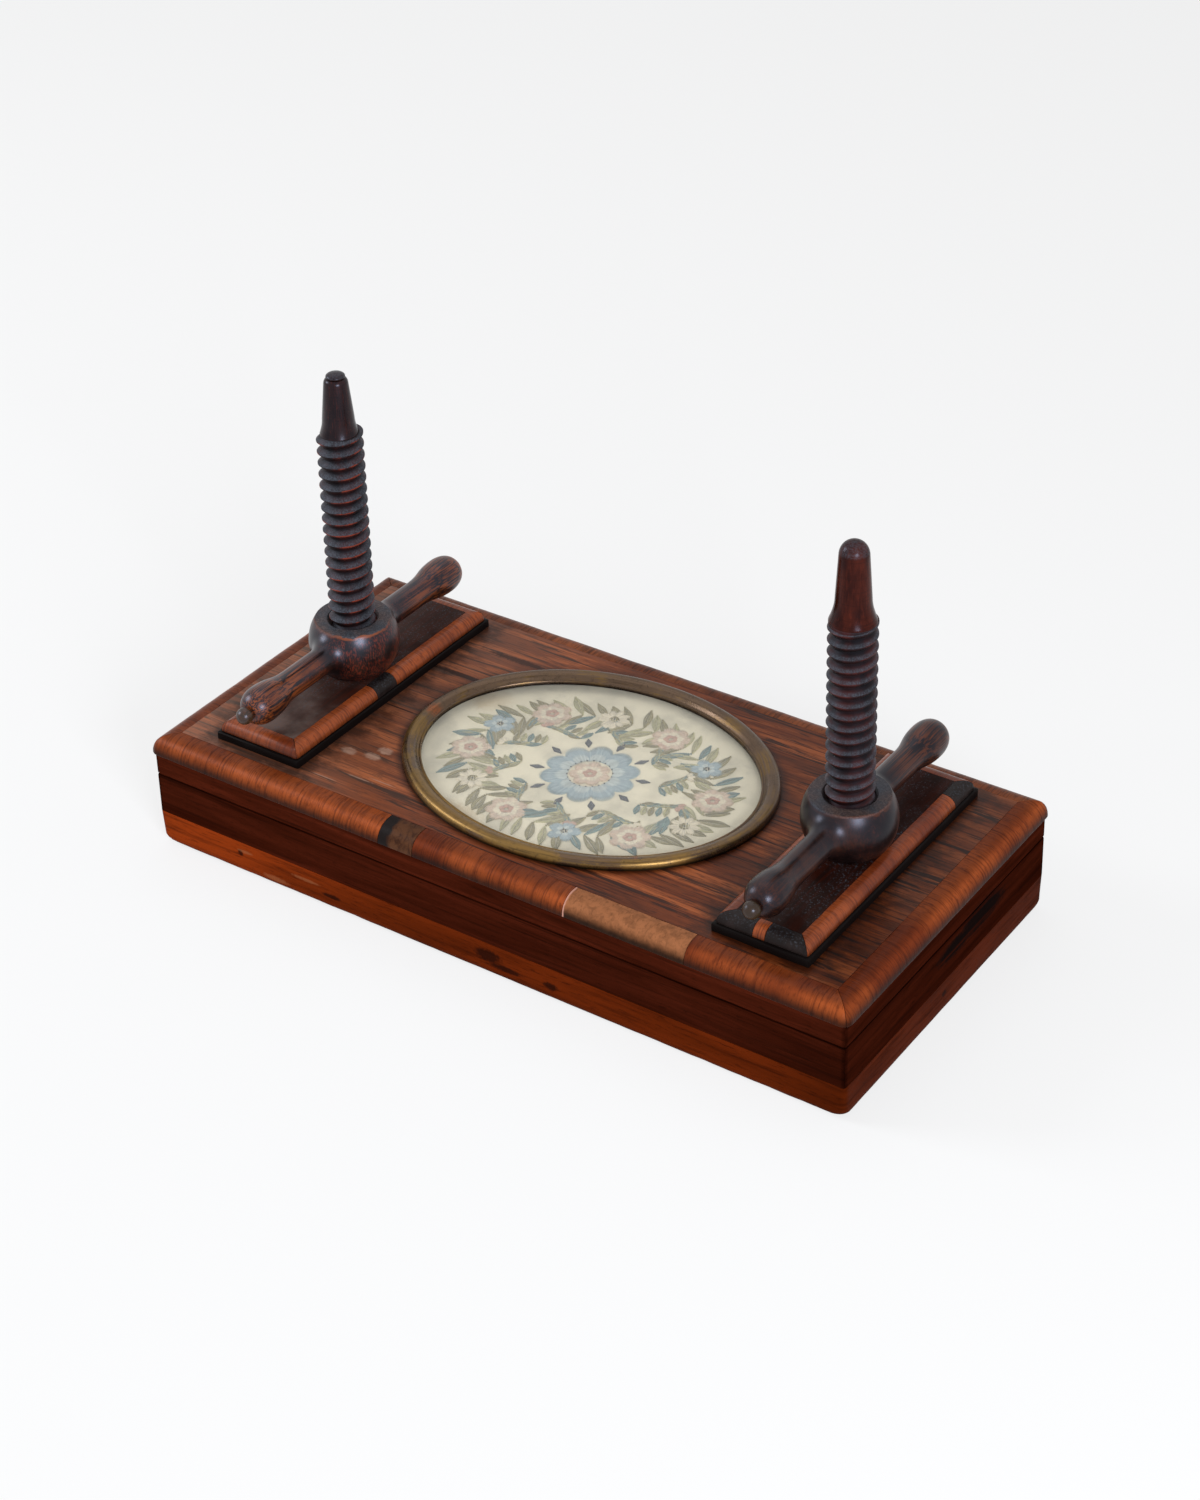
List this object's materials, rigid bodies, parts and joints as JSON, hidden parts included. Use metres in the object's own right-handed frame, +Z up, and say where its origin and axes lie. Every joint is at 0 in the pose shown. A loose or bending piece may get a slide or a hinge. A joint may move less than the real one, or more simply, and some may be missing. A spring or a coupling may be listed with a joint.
{
  "type": "playing card press",
  "caption": "Flat wooden box press for playing cards: a flush lid with an oval embroidered panel, pressed down by turned wing nuts on wooden screw posts.",
  "frame": {"origin": "middle of the underside of the bottom board", "axes": "+X along the long side towards the post with the domed tip, +Y to the back, +Z up along the posts"},
  "size_m": [0.2724, 0.1304, 0.1622],
  "materials": {
    "mahogany": "worn wax polish",
    "rosewood": "worn french polish",
    "deal": "bare planed wood",
    "baize": "woollen baize",
    "turned_wood": "turned, polished",
    "cross_grain": "polished crossbanding",
    "ebonised": "polished dark inlay",
    "pale_wood": "polished pale inlay",
    "brass": "patinated",
    "glass": "clear old glass",
    "silk": "silk with stitching",
    "millboard": "raw board"
  },
  "bodies": {
    "base": {"bottom_board": "mahogany", "front_rail": "rosewood", "back_rail": "rosewood", "left_end_rail": "rosewood", "right_end_rail": "rosewood", "left_post_block": "deal", "right_post_block": "deal", "centre_divider": "deal", "left_well_baize": "baize", "right_well_baize": "baize", "left_post": "turned_wood", "right_post": "turned_wood"},
    "lid": {"lid_board": "rosewood", "left_pad_board": "rosewood", "right_pad_board": "rosewood", "left_lid_baize": "baize", "right_lid_baize": "baize", "front_band_left": "cross_grain", "front_band_middle": "cross_grain", "front_band_right": "cross_grain", "back_band": "cross_grain", "left_end_band": "cross_grain", "right_end_band": "cross_grain", "left_pad_front_edge": "cross_grain", "left_pad_back_edge": "cross_grain", "left_pad_outer_edge": "cross_grain", "left_pad_inner_edge_front": "cross_grain", "left_pad_inner_edge_back": "cross_grain", "right_pad_front_light_piece": "cross_grain", "right_pad_back_edge": "cross_grain", "right_pad_outer_edge": "cross_grain", "right_pad_inner_edge": "cross_grain", "front_band_dark_patch": "ebonised", "left_pad_dark_square": "ebonised", "right_pad_front_dark_inner": "ebonised", "right_pad_front_dark_outer": "ebonised", "right_pad_outer_dark_end": "ebonised", "front_band_pale_patch": "pale_wood", "oval_bezel": "brass", "oval_glass": "glass", "silk_panel": "silk", "oval_backing": "millboard"},
    "left_nut": {"left_wing_nut": "turned_wood"},
    "right_nut": {"right_wing_nut": "turned_wood"}
  },
  "joints": [
    {"name": "lid_lift", "type": "slide", "parent": "base", "child": "lid", "axis": [0, 0, 1], "range_m": [0, 0.05525]},
    {"name": "left_nut_screw", "type": "hinge", "parent": "lid", "child": "left_nut", "pos_m": [-0.09825, 0, 0.0593], "axis": [0, 0, 1], "range_deg": [0, 4680]},
    {"name": "right_nut_screw", "type": "hinge", "parent": "lid", "child": "right_nut", "pos_m": [0.09825, 0, 0.0593], "axis": [0, 0, 1], "range_deg": [0, 4680]}
  ],
  "couplings": [
    {"joint": "left_nut_screw", "follows": "lid_lift", "rad_per_m": 1478.4},
    {"joint": "right_nut_screw", "follows": "lid_lift", "rad_per_m": 1478.4}
  ]
}
